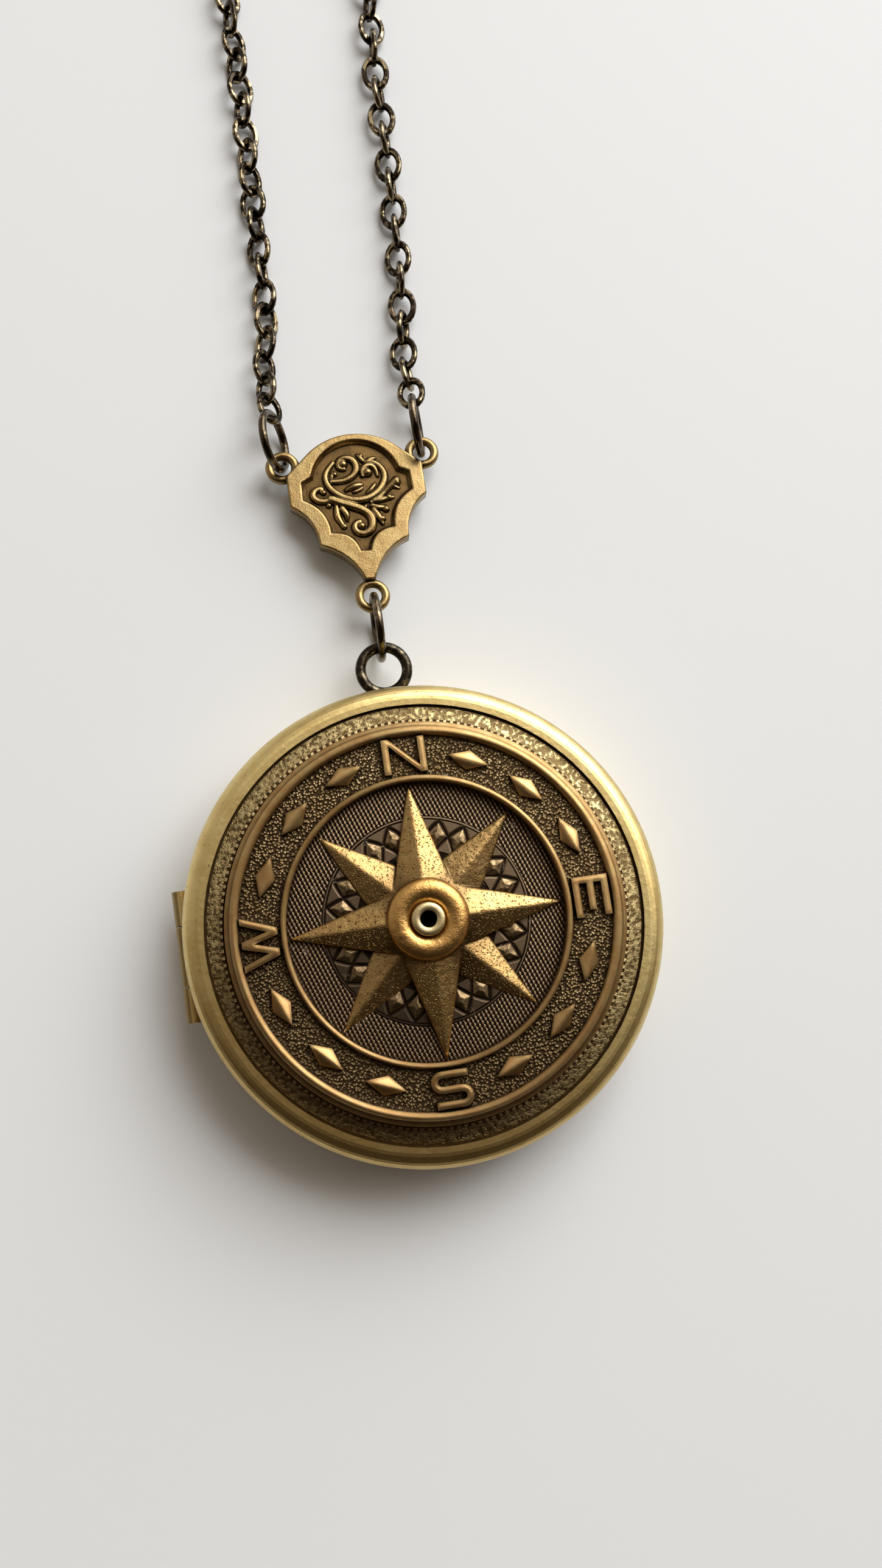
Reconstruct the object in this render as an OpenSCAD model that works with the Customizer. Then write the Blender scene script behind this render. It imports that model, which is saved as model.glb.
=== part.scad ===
// Compass locket necklace, lying face up on a flat surface.
// The locket's flat back rests on z = 0 with its centre at the origin.
// +Y runs from the locket's centre to its bail and the dial's N, +Z is the way the dial faces.

/* [Locket case] */
// Outside diameter of the case
case_d = 31.8; // [31.2:0.1:34]
// Thickness of the closed case at its rim
case_t = 6.2; // [5.8:0.1:8]
// Thickness of the pressed covers
cover_wall = 0.5; // [0.4:0.05:0.65]
// Gap at the seam between the two covers
seam_gap = 0.08; // [0.06:0.01:0.12]
// Radius of the rim's rounded shoulder
shoulder_r = 1.1; // [0.8:0.05:1.2]
// Width of the bright rim, seen from the front
rim_w = 1.5; // [1.25:0.05:1.6]
// Width of the groove between the rim and the ornamental band
groove_w = 0.15; // [0.1:0.05:0.25]
// Depth of that groove below the rim's top
groove_depth = 0.45; // [0.35:0.05:0.6]
// Depth of the ornamental band below the rim's top
band_depth = 0.2; // [0.1:0.05:0.25]
// Depth of the dial's seat below the rim's top
seat_depth = 0.3; // [0.26:0.02:0.4]
// Height of the inner lip that the front cover closes over
lip_h = 0.5; // [0.3:0.05:0.8]
// Thickness of the inner lip
lip_t = 0.35; // [0.3:0.05:0.5]
// Clearance between the lip and the front cover
lip_gap = 0.12; // [0.08:0.01:0.2]

/* [Hinge] */
// Outside radius of a hinge knuckle
knuckle_r = 0.6; // [0.58:0.01:0.65]
// Radius of the hinge pin
pin_r = 0.3; // [0.25:0.01:0.35]
// Running clearance between the pin and its bores
pin_gap = 0.04; // [0.02:0.01:0.08]
// Length of the middle knuckle, on the front cover
mid_knuckle_l = 3.9; // [3:0.1:5]
// Length of each outer knuckle, on the back cover
end_knuckle_l = 2.3; // [2:0.1:3]
// How far the hinge's axis lies inside the case's edge
knuckle_inset = 0.1; // [0.05:0.01:0.12]
// Gap between two knuckles
knuckle_gap = 0.1; // [0.08:0.01:0.2]
// Clearance round a knuckle, cut in the other cover
knuckle_relief = 0.12; // [0.1:0.01:0.16]

/* [Compass dial] */
// Diameter of the dial
dial_d = 26.1; // [25.9:0.1:26.8]
// Thickness of the solder-free glue line under a part that is fixed to another
glue_gap = 0.03; // [0.02:0.01:0.05]
// Height of the dial's pebbled ground above its base
ground_h = 1; // [0.9:0.05:1.2]
// Width of the bead round the dial
bead_w = 0.6; // [0.45:0.05:0.65]
// Width of the thin lip outside the bead
dial_lip_w = 0.3; // [0.15:0.05:0.35]
// Height of the bead and of the inner ring above the ground
bead_h = 0.45; // [0.3:0.05:0.6]
// Outside diameter of the raised inner ring
ring_d = 18.95; // [18.8:0.05:19.2]
// Width of the raised inner ring
ring_w = 0.38; // [0.3:0.02:0.44]
// Depth of the sunk centre below the ground
sunk_depth = 0.5; // [0.3:0.05:0.55]
// Thickness of the sunk centre's floor
floor_t = 0.3; // [0.25:0.05:0.35]
// Height of a letter
letter_h = 2.35; // [2.2:0.05:2.4]
// Width of the letter E; the others follow from it
letter_w = 2.65; // [2.4:0.05:2.8]
// Width of a letter's strokes
stroke_w = 0.44; // [0.4:0.02:0.5]
// Height of the letters and diamonds above the ground
relief_h = 0.4; // [0.2:0.05:0.5]
// Number of directions marked round the dial, letters included
mark_count = 16; // [16]
// Length of a diamond mark, along the circle
diamond_l = 2.7; // [2:0.1:2.9]
// Width of a diamond mark, across the circle
diamond_w = 1.3; // [1:0.1:1.5]

/* [Compass star] */
// Radius of the star's points
star_r = 9; // [8.6:0.05:9]
// Radius of the corners between the four main points
main_waist_r = 2.85; // [2.75:0.05:3.1]
// Radius of the corners between the four lower points
low_waist_r = 3; // [2.6:0.05:3.1]
// Height of the main points at their tips
main_tip_h = 0.3; // [0.2:0.02:0.5]
// Height of the corners between the main points
main_waist_h = 0.54; // [0.5:0.01:0.7]
// Height at which the main points' ridges would meet
main_ridge_h = 1.4; // [1.2:0.05:1.45]
// Height of the lower points at their tips
low_tip_h = 0.14; // [0.1:0.02:0.2]
// Height of the corners between the lower points
low_waist_h = 0.12; // [0.1:0.01:0.3]
// Height at which the lower points' ridges would meet
low_ridge_h = 0.8; // [0.5:0.02:0.84]
// Radius of the hub
hub_r = 2.66; // [2.5:0.02:2.7]
// Height of the hub's crown above the star's base
hub_h = 1.45; // [1.35:0.05:1.6]
// Depth of the hub's dish and of its outer edge below its crown
dish_depth = 0.45; // [0.35:0.01:0.5]
// Outside radius of the rivet's rolled head
rivet_head_r = 1.08; // [1:0.02:1.2]
// Radius of the hole through the tubular rivet
rivet_hole_r = 0.52; // [0.45:0.01:0.56]
// Outside radius of the rivet's shank
rivet_shank_r = 0.8; // [0.75:0.01:0.85]
// Clearance round the rivet's shank
rivet_gap = 0.05; // [0.03:0.01:0.08]

/* [Bail and rings] */
// Thickness of the bail ring's wire
bail_wire = 0.75; // [0.65:0.05:0.8]
// Radius of the bail ring to the middle of its wire
bail_r = 1.62; // [1.55:0.01:1.9]
// How far the bail ring is sunk into the case where it is soldered
bail_sink = 0.12; // [0.1:0.01:0.25]
// Thickness of the jump rings' wire
ring_wire = 0.58; // [0.5:0.02:0.62]
// Radius of the ring between bail and connector, to the middle of its wire
pendant_ring_r = 2.2; // [2.15:0.05:2.6]
// Radius of the rings at the chain's lower ends, to the middle of their wire
end_ring_r = 2; // [1.8:0.05:2.1]
// Radius of the ring that the clasp closes on, to the middle of its wire
catch_ring_r = 1.75; // [1.7:0.05:1.9]
// Lean of the left end ring from the flat
left_ring_lean = 69; // [60:1:90]
// Lean of the right end ring from the flat
right_ring_lean = 80; // [60:1:90]
// Clearance between a ring and what it passes through, and above the surface
link_gap = 0.08; // [0.05:0.01:0.12]

/* [Connector] */
// Half the width of the connector's plate
plate_half_w = 4.9; // [4.6:0.1:5.2]
// Radius of the plate's round top
plate_top_r = 4.87; // [4.8:0.01:4.95]
// Thickness of the plate
plate_t = 1.1; // [0.9:0.05:1.3]
// Depth of the field inside the border
field_depth = 0.4; // [0.25:0.05:0.5]
// Height of the cast scrolls above the field
scroll_h = 0.3; // [0.15:0.05:0.4]
// Radius of the connector's loops, to the middle of their wire
loop_r = 0.93; // [0.85:0.01:1]
// Thickness of the loops' wire
loop_wire = 0.62; // [0.5:0.01:0.66]
// Height of the bottom loop above the surface, to the middle of its wire
low_loop_z = 2.05; // [1.9:0.05:2.3]
// Slope of the connector, down towards its round top
connector_tilt = 4; // [3:0.5:5]
// How far the bail and all that hangs on it lie to the side of the dial's N
hanger_x = -0.18; // [-0.3:0.02:0.3]

/* [Chain] */
// Width of a chain link across its length
link_w = 2.15; // [1.8:0.05:2.2]
// Gap between the end of a chain and the ring that it hangs on
chain_gap = 0.2; // [0.15:0.01:0.3]

/* [Clasp] */
// Length of the clasp from its nose to its loop's end
clasp_l = 10.5; // [9.5:0.5:12]
// Radius of the clasp's nose
nose_r = 2.6; // [2.5:0.05:2.8]
// Radius of the hole inside the nose
nose_hole_r = 1.7; // [1.6:0.05:1.75]
// Thickness of the clasp
clasp_t = 1.4; // [1.2:0.1:1.6]
// Outside radius of the clasp's own loop
clasp_loop_r = 1.3; // [1.2:0.05:1.4]
// Radius of the hole in that loop
clasp_eye_r = 0.8; // [0.75:0.01:0.85]
// Thickness of that loop
clasp_loop_t = 0.8; // [0.7:0.05:0.9]
// Radius of the small ring on the clasp's loop, to the middle of its wire
clasp_ring_r = 1.4; // [1.3:0.05:1.6]
// Thickness of the small ring's wire
clasp_ring_wire = 0.5; // [0.4:0.02:0.55]

/* [Hidden] */
$fn = 96;
ring_fn = 48;
wire_fn = 16;
overlap = 0.05;
arc_steps = 8;

bright_brass = [0.72, 0.62, 0.30];
aged_brass = [0.50, 0.38, 0.18];
warm_brass = [0.64, 0.45, 0.20];
dark_metal = [0.20, 0.17, 0.14];
antique_gold = [0.70, 0.55, 0.28];

case_r = case_d / 2;
seam_z = case_t / 2;
cover_h = seam_z - seam_gap / 2;
lip_r = case_r - cover_wall - lip_gap;

hinge_x = -case_r + knuckle_inset;
mid_span = mid_knuckle_l + 2 * knuckle_gap;
hinge_l = mid_span + 2 * end_knuckle_l;
pin_bore_r = pin_r + pin_gap;

dial_r = dial_d / 2;
dial_z = case_t - seat_depth + glue_gap;
ground_z = dial_z + ground_h;
floor_z = ground_z - sunk_depth;
ring_r = ring_d / 2;
mark_r = (ring_r + dial_r - dial_lip_w - bead_w) / 2;

star_z = floor_z + glue_gap;
rivet_bore_r = rivet_shank_r + rivet_gap;
dish_z = star_z + hub_h - dish_depth;
rivet_top = star_z + hub_h - glue_gap;
rivet_flange_t = 0.12;

bail_y = case_r + bail_r + bail_wire / 2 - bail_sink;
bail_z = seam_z - seam_gap / 2 - bail_wire / 2 - 2 * link_gap;
pendant_ring_z = pendant_ring_r + ring_wire / 2 + link_gap / 2;

// How far from a ring's centre a wire's middle lies along Y, when the ring pulls tight on it
// and the wire is drop below the ring's centre.
function reach(ring_mid_r, wire, drop) =
    sqrt(pow(ring_mid_r - ring_wire / 2 - wire / 2 - link_gap, 2) - pow(drop, 2));

pendant_ring_y = bail_y + bail_r + reach(pendant_ring_r, bail_wire, pendant_ring_z - bail_z);
low_loop_y = pendant_ring_y + reach(pendant_ring_r, loop_wire, pendant_ring_z - low_loop_z) + loop_r;

// The plate's outline, in its own plane, from its centre: shoulders, corners and tip.
plate_top_y = plate_half_w * 0.11;
plate_top_from = 45;
shoulder_y = plate_half_w * 0.545;
side_corner_y = plate_half_w * 0.06;
low_corner = [plate_half_w * 0.65, -plate_half_w * 0.585];
tip_y = -plate_half_w * 1.18;
tip_half_w = plate_half_w * 0.07;
scallop_sag = plate_half_w * 0.1;

// The outline of the sunk field inside the plate's border, in the same way.
field_top_r = plate_half_w * 0.665;
field_top_y = plate_half_w * 0.33;
field_top_from = 14;
field_notch = [plate_half_w * 0.79, plate_half_w * 0.42];
field_corner = [plate_half_w * 0.8, plate_half_w * 0.14];
field_low_corner = [plate_half_w * 0.46, -plate_half_w * 0.41];
field_tip_y = -plate_half_w * 0.73;

low_loop = [0, tip_y - loop_r - loop_wire / 2 + 3 * overlap];
side_loop = [plate_half_w + overlap * 3, shoulder_y + loop_r - overlap];
connector_y = low_loop_y - low_loop[1] * cos(connector_tilt);
connector_z = low_loop_z + low_loop[1] * sin(connector_tilt);
side_loop_y = connector_y + side_loop[1] * cos(connector_tilt);
side_loop_z = connector_z - side_loop[1] * sin(connector_tilt);

// Height of a leaning ring's centre when it stands on the surface, and how far its centre
// lies beyond the loop that it passes through.
function standing_z(mid_r, wire, lean) = mid_r * sin(lean) + wire / 2 + link_gap / 2;
function loop_angle(lean) = asin((standing_z(end_ring_r, ring_wire, lean) - side_loop_z)
                                 / (end_ring_r * sin(lean)));
function beyond_loop(lean) = end_ring_r * cos(loop_angle(lean));
function aside_of_loop(lean) = end_ring_r * sin(loop_angle(lean)) * cos(lean);

left_ring = [hanger_x - side_loop[0] - aside_of_loop(left_ring_lean),
             side_loop_y + beyond_loop(left_ring_lean),
             standing_z(end_ring_r, ring_wire, left_ring_lean)];
right_ring = [hanger_x + side_loop[0] - aside_of_loop(right_ring_lean),
              side_loop_y + beyond_loop(right_ring_lean),
              standing_z(end_ring_r, ring_wire, right_ring_lean)];

// The chain's two runs, from the end rings up to the clasp. Each row is
// [left run's x, right run's x, y, height above the surface].
chain_lie = link_w / 2;
chain_rows = [
    [-4.9, 5.2, 46, chain_lie],
    [-4.7, 5.7, 56, chain_lie],
    [-4.5, 5.9, 66, chain_lie],
    [-5.0, 7.0, 76, chain_lie],
    [-8.0, 9.6, 86, chain_lie],
    [-13.3, 14.2, 95, chain_lie],
    [-19.9, 20.2, 103, chain_lie],
    [-27.0, 27.1, 111, chain_lie],
    [-33.8, 33.9, 119, chain_lie],
    [-39.8, 39.8, 128, chain_lie],
    [-44.2, 44.2, 138, chain_lie],
    [-46.3, 46.3, 149, chain_lie],
    [-45.8, 45.8, 160, chain_lie],
    [-42.6, 42.6, 170.5, chain_lie],
    [-36.9, 36.9, 180, chain_lie],
    [-28.9, 28.9, 187.5, chain_lie],
    [-19.4, 19.4, 192.3, chain_lie]
];
clasp_y = 194;

clasp_ring_z = standing_z(clasp_ring_r, clasp_ring_wire, 90);
catch_ring_z = standing_z(catch_ring_r, ring_wire, 90);
nose_wall = nose_r - nose_hole_r;
clasp_z = clasp_t / 2 + catch_ring_z
    - sqrt(pow(catch_ring_r - ring_wire / 2 - link_gap, 2) - pow(nose_wall / 2, 2));
nose_x = nose_r - clasp_l / 2;
eye_x = clasp_l / 2 - clasp_loop_r;
clasp_ring_x = eye_x + sqrt(pow(clasp_ring_r, 2) - pow(clasp_ring_z - clasp_z, 2));
catch_ring_x = (nose_wall - clasp_l) / 2;

left_start = [left_ring[0], left_ring[1] + end_ring_r + ring_wire / 2 + chain_gap, left_ring[2]];
right_start = [right_ring[0], right_ring[1] + end_ring_r + ring_wire / 2 + chain_gap, right_ring[2]];
left_end = [catch_ring_x - catch_ring_r - ring_wire / 2 - chain_gap, clasp_y, catch_ring_z];
right_end = [clasp_ring_x + clasp_ring_r + clasp_ring_wire / 2 + chain_gap, clasp_y, clasp_ring_z];
settle = 4;
left_route = concat([left_start, left_start + [0, settle, chain_lie - left_start[2]]],
                    [for (row = chain_rows) [row[0], row[2], row[3]]], [left_end]);
right_route = concat([right_start, right_start + [0, settle, chain_lie - right_start[2]]],
                     [for (row = chain_rows) [row[1], row[2], row[3]]], [right_end]);

// Points along a circular arc.
function arc(centre, r, from, to) =
    [for (i = [0 : arc_steps]) let (a = from + (to - from) * i / arc_steps)
        centre + r * [cos(a), sin(a)]];

// Points along a bow between two points, its middle sag to the left of the way from a to b.
function bow(a, b, sag) =
    [for (i = [1 : arc_steps - 1]) let (t = i / arc_steps, d = b - a)
        a + d * t + 4 * sag * t * (1 - t) * [-d[1], d[0]] / norm(d)];

// A smooth curve through points, with a number of steps between each two.
function smooth_point(a, b, c, d, t) =
    0.5 * (2 * b + (c - a) * t + (2 * a - 5 * b + 4 * c - d) * t * t
           + (3 * b - a - 3 * c + d) * t * t * t);
function smooth_path(points, steps) =
    let (n = len(points))
    [for (i = [0 : n - 2]) for (k = [0 : (i == n - 2 ? steps : steps - 1)])
        smooth_point(points[max(i - 1, 0)], points[i], points[i + 1], points[min(i + 2, n - 1)],
                     k / steps)];

// A flat stroke of even or tapering width along a path.
function side_of(path, i) =
    let (d = path[min(i + 1, len(path) - 1)] - path[max(i - 1, 0)]) [-d[1], d[0]] / norm(d);
function stroke_width(i, n, w0, w1) = w0 + (w1 - w0) * i / (n - 1);
module stroke(path, w0, w1) {
    n = len(path);
    polygon(concat(
        [for (i = [0 : n - 1]) path[i] + side_of(path, i) * stroke_width(i, n, w0, w1) / 2],
        [for (i = [n - 1 : -1 : 0]) path[i] - side_of(path, i) * stroke_width(i, n, w0, w1) / 2]));
}

// A round wire ring, flat on XY, about the origin.
module wire_ring(mid_r, wire) {
    rotate_extrude($fn = ring_fn)
        translate([mid_r, 0])
            circle(d = wire, $fn = wire_fn);
}

// A straight piece of the hinge, centred at y.
module hinge_rod(y, l, r) {
    translate([hinge_x, y, seam_z])
        rotate([90, 0, 0])
            cylinder(h = l, r = r, center = true, $fn = ring_fn);
}

end_knuckle_y = (mid_span + end_knuckle_l) / 2;

// Half section of the back cover: floor, shoulder, wall and inner lip.
module back_section() {
    polygon(concat(
        [[0, 0]],
        arc([case_r - shoulder_r, shoulder_r], shoulder_r, -90, 0),
        [[case_r, cover_h],
         [lip_r, cover_h],
         [lip_r, cover_h + seam_gap + lip_h],
         [lip_r - lip_t, cover_h + seam_gap + lip_h],
         [lip_r - lip_t, cover_h - lip_h],
         [case_r - cover_wall, cover_h - 2 * lip_h],
         [case_r - cover_wall, cover_wall + groove_depth],
         [case_r - shoulder_r, cover_wall],
         [0, cover_wall]]));
}

module back_cover() {
    color(bright_brass)
    difference() {
        union() {
            difference() {
                rotate_extrude()
                    back_section();
                hinge_rod(0, mid_span, knuckle_r + knuckle_relief);
            }
            for (side = [-1, 1])
                hinge_rod(side * end_knuckle_y, end_knuckle_l, knuckle_r);
            translate([hanger_x, bail_y, bail_z])
                wire_ring(bail_r, bail_wire);
        }
        hinge_rod(0, hinge_l + 2 * knuckle_gap, pin_bore_r);
    }
}

// Half section of the front cover: wall, bright rim, groove, band and the dial's seat.
module front_section() {
    band_out = case_r - rim_w - groove_w;
    ceiling = case_t - groove_depth - cover_wall;
    polygon(concat(
        [[case_r - cover_wall, seam_z + seam_gap / 2]],
        arc([case_r - shoulder_r, case_t - shoulder_r], shoulder_r, 0, 90),
        [[case_r - rim_w, case_t],
         [case_r - rim_w, case_t - groove_depth],
         [band_out, case_t - groove_depth],
         [band_out, case_t - band_depth],
         [dial_r + groove_w, case_t - band_depth],
         [dial_r + groove_w, case_t - seat_depth],
         [0, case_t - seat_depth],
         [0, ceiling],
         [case_r - cover_wall, ceiling]]));
}

module front_cover() {
    color(bright_brass)
    difference() {
        union() {
            difference() {
                union() {
                    rotate_extrude()
                        front_section();
                    translate([0, 0, seam_z + seam_gap / 2])
                        difference() {
                            cylinder(h = seam_z - shoulder_r, r = case_r);
                            translate([0, 0, -overlap])
                                cylinder(h = seam_z, r = case_r - cover_wall);
                        }
                }
                for (side = [-1, 1])
                    hinge_rod(side * (end_knuckle_y + knuckle_gap / 2), end_knuckle_l + knuckle_gap * 3,
                              knuckle_r + knuckle_relief);
            }
            hinge_rod(0, mid_knuckle_l, knuckle_r);
        }
        hinge_rod(0, mid_span, pin_bore_r);
    }
}

module hinge_pin() {
    color(dark_metal)
    hinge_rod(0, hinge_l - knuckle_gap, pin_r);
}

// Half section of the dial: lip, bead, ground, inner ring and sunk floor, hollow underneath.
module dial_section() {
    bead_out = dial_r - dial_lip_w;
    bead_mid = bead_out - bead_w / 2;
    ring_mid = ring_r - ring_w / 2;
    top = ground_h + bead_h;
    skin = floor_t;
    polygon(concat(
        [[dial_r, 0],
         [dial_r, ground_h + bead_h / 3]],
        arc([bead_mid, top - bead_w / 2], bead_w / 2, 0, 180),
        [[bead_mid - bead_w / 2, ground_h],
         [ring_r, ground_h]],
        arc([ring_mid, top - ring_w / 2], ring_w / 2, 0, 180),
        [[ring_mid - ring_w / 2, ground_h - sunk_depth],
         [rivet_bore_r, ground_h - sunk_depth],
         [rivet_bore_r, ground_h - sunk_depth - floor_t],
         [ring_r - skin, ground_h - sunk_depth - floor_t],
         [ring_r - skin, ground_h - skin],
         [dial_r - bead_w, ground_h - skin],
         [dial_r - bead_w, 0]]));
}

// A straight stroke with square ends.
module bar(from, to) {
    stroke([from, to], stroke_w, stroke_w);
}

module letter_n() {
    x = (letter_w * 1.07 - stroke_w) / 2;
    y = letter_h / 2;
    bar([-x, -y], [-x, y]);
    bar([x, -y], [x, y]);
    polygon([[-x - stroke_w / 2, y], [-x + stroke_w / 2, y],
             [x + stroke_w / 2, -y], [x - stroke_w / 2, -y]]);
}

module letter_e() {
    x = letter_w / 2;
    y = (letter_h - stroke_w) / 2;
    bar([-x + stroke_w / 2, -y - stroke_w / 2], [-x + stroke_w / 2, y + stroke_w / 2]);
    bar([-x, y], [x, y]);
    bar([-x, 0], [x - stroke_w, 0]);
    bar([-x, -y], [x, -y]);
}

module letter_s() {
    bend = (letter_h - stroke_w) / 4;
    x = letter_w / 2 - bend - stroke_w / 2;
    stroke(concat([[letter_w / 2 - stroke_w / 2, 2 * bend]],
                  arc([-x, bend], bend, 90, 270),
                  arc([x, -bend], bend, 90, -90),
                  [[-letter_w / 2 + stroke_w / 2, -2 * bend]]), stroke_w, stroke_w);
}

module letter_w_mark() {
    x = (letter_w * 1.32 - stroke_w) / 2;
    low_x = x * 0.43;
    y = letter_h / 2;
    half = stroke_w / 2;
    for (side = [-1, 1])
        for (top_x = [0, x])
            polygon([[side * (top_x + half), y], [side * (top_x - half), y],
                     [side * (low_x - half), -y], [side * (low_x + half), -y]]);
}

// A low ridged diamond, long along X.
module diamond() {
    edge_h = relief_h / 2;
    intersection() {
        linear_extrude(height = relief_h + overlap)
            polygon([[-diamond_l / 2, 0], [0, -diamond_w / 2], [diamond_l / 2, 0], [0, diamond_w / 2]]);
        rotate([90, 0, 90])
            linear_extrude(height = diamond_l, center = true)
                polygon([[-diamond_w / 2, 0], [diamond_w / 2, 0], [diamond_w / 2, edge_h],
                         [0, relief_h + overlap], [-diamond_w / 2, edge_h]]);
    }
}

module compass_dial() {
    letters_at = mark_count / 4;
    color(aged_brass)
    union() {
        translate([0, 0, dial_z])
            rotate_extrude()
                dial_section();
        for (i = [0 : mark_count - 1])
            rotate([0, 0, -360 * i / mark_count])
                translate([0, mark_r, ground_z - overlap])
                    if (i % letters_at != 0)
                        diamond();
                    else
                        linear_extrude(height = relief_h + overlap)
                            if (i == 0) letter_n();
                            else if (i == letters_at) letter_e();
                            else if (i == 2 * letters_at) letter_s();
                            else letter_w_mark();
    }
}

// A four-pointed star with a ridge along each point.
module ridged_star(waist_r, tip_h, waist_h, ridge_h) {
    outline = [for (i = [0 : 7]) let (tip = i % 2 == 0, r = tip ? star_r : waist_r)
        [r * cos(45 * i), r * sin(45 * i), tip ? tip_h : waist_h]];
    points = concat([[0, 0, 0]], [[0, 0, ridge_h]],
                    [for (p = outline) [p[0], p[1], 0]],
                    outline);
    faces = [for (i = [0 : 7]) let (j = (i + 1) % 8) each [
        [0, 2 + i, 2 + j],
        [2 + i, 10 + i, 10 + j, 2 + j],
        [1, 10 + j, 10 + i]]];
    polyhedron(points = points, faces = faces);
}

// Half section of the hub: straight side, full round crown and the rivet head's dish.
module hub_section() {
    crown_in = rivet_head_r + 2 * glue_gap;
    crown_mid = (hub_r + crown_in) / 2;
    crown_half_w = (hub_r - crown_in) / 2;
    edge_h = hub_h - dish_depth;
    polygon(concat(
        [[rivet_bore_r, 0], [hub_r, 0]],
        [for (p = arc([0, 0], 1, 0, 180)) [crown_mid + crown_half_w * p[0], edge_h + dish_depth * p[1]]],
        [[rivet_bore_r, edge_h]]));
}

module compass_star() {
    color(warm_brass)
    translate([0, 0, star_z])
        difference() {
            union() {
                ridged_star(main_waist_r, main_tip_h, main_waist_h, main_ridge_h);
                rotate([0, 0, 45])
                    ridged_star(low_waist_r, low_tip_h, low_waist_h, low_ridge_h);
                rotate_extrude()
                    hub_section();
            }
            translate([0, 0, -overlap])
                cylinder(h = hub_h + 2 * overlap, r = rivet_bore_r);
            translate([0, 0, hub_h - dish_depth])
                cylinder(h = hub_h, r = rivet_head_r + 2 * glue_gap);
        }
}

// Tubular rivet: rolled head in the hub's dish, shank through star and dial, thin flange below.
module star_rivet() {
    below = floor_z - floor_t - glue_gap;
    head_low = dish_z + glue_gap;
    roll_r = (rivet_head_r - rivet_hole_r) / 2;
    color(warm_brass)
    rotate_extrude()
        polygon(concat(
            [[rivet_hole_r, below - rivet_flange_t],
             [rivet_head_r, below - rivet_flange_t],
             [rivet_head_r, below],
             [rivet_shank_r, below],
             [rivet_shank_r, head_low],
             [rivet_head_r, head_low]],
            [for (p = arc([rivet_head_r - roll_r, 0], roll_r, 0, 180)) [p[0], rivet_top + p[1] / 2]]));
}

module pendant_ring() {
    color(dark_metal)
    translate([hanger_x, pendant_ring_y, pendant_ring_z])
        rotate([0, 90, 0])
            wire_ring(pendant_ring_r, ring_wire);
}

// The plate's right half outline, from the round top down to the tip.
function plate_side() = concat(
    [[plate_half_w, shoulder_y], [plate_half_w, side_corner_y]],
    bow([plate_half_w, side_corner_y], low_corner, -scallop_sag),
    [low_corner],
    bow(low_corner, [tip_half_w, tip_y], -scallop_sag),
    [[tip_half_w, tip_y]]);

function field_side() = concat(
    [field_notch, field_corner],
    bow(field_corner, field_low_corner, -scallop_sag),
    [field_low_corner],
    bow(field_low_corner, [tip_half_w, field_tip_y], -scallop_sag),
    [[tip_half_w, field_tip_y]]);

function mirrored(points) = [for (i = [len(points) - 1 : -1 : 0]) [-points[i][0], points[i][1]]];

module shield(top_r, top_y, from, side) {
    polygon(concat(arc([0, top_y], top_r, 180 - from, from), side, mirrored(side)));
}

// The cast scrolls, as shares of half the plate's width. Each is a smooth stroke through a few
// points, and the larger curls end in a round bud, whose rows are [x, y, radius].
scroll_paths = [
    [[-0.22, 0.62], [-0.21, 0.72], [-0.12, 0.78], [-0.01, 0.74], [0.05, 0.63], [0.02, 0.52],
     [-0.06, 0.45], [-0.17, 0.40], [-0.28, 0.39], [-0.37, 0.42]],
    [[0.13, 0.71], [0.24, 0.71], [0.35, 0.63], [0.42, 0.51], [0.42, 0.38], [0.36, 0.26], [0.26, 0.16],
     [0.13, 0.10], [-0.02, 0.09], [-0.17, 0.13], [-0.30, 0.20], [-0.40, 0.31], [-0.44, 0.43],
     [-0.38, 0.56], [-0.29, 0.69]],
    [[0.11, 0.59], [0.20, 0.61], [0.28, 0.56], [0.31, 0.47], [0.29, 0.39]],
    [[-0.55, 0.30], [-0.62, 0.25], [-0.62, 0.17], [-0.55, 0.11], [-0.45, 0.10]],
    [[-0.38, 0.15], [-0.28, 0.08], [-0.15, 0.02], [-0.02, -0.05], [0.08, -0.13], [0.13, -0.23],
     [0.12, -0.34], [0.05, -0.42], [-0.05, -0.43], [-0.12, -0.37], [-0.11, -0.28]],
    [[-0.35, 0.08], [-0.36, -0.06], [-0.33, -0.20], [-0.26, -0.31]],
    [[0.24, 0.03], [0.37, 0.15], [0.50, 0.28], [0.63, 0.36]],
    [[0.22, 0.01], [0.35, 0.08], [0.50, 0.08]],
    [[0.16, -0.03], [0.26, -0.09], [0.36, -0.08]],
    [[0.14, -0.06], [0.20, -0.16], [0.27, -0.27]],
    [[-0.18, 0.28], [-0.06, 0.27], [0.06, 0.31]]
];
scroll_buds = [[-0.14, 0.66, 0.07], [0.17, 0.49, 0.08], [-0.48, 0.26, 0.05], [-0.03, -0.33, 0.05],
               [-0.27, 0.54, 0.05]];
scroll_w = plate_half_w * 0.065;

module scrolls() {
    for (path = scroll_paths)
        linear_extrude(height = scroll_h + overlap)
            stroke(smooth_path([for (p = path) p * plate_half_w], 3), scroll_w, scroll_w * 1.3);
    for (bud = scroll_buds)
        translate([bud[0] * plate_half_w, bud[1] * plate_half_w])
            cylinder(h = scroll_h + overlap, r = bud[2] * plate_half_w, $fn = wire_fn);
}

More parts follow.
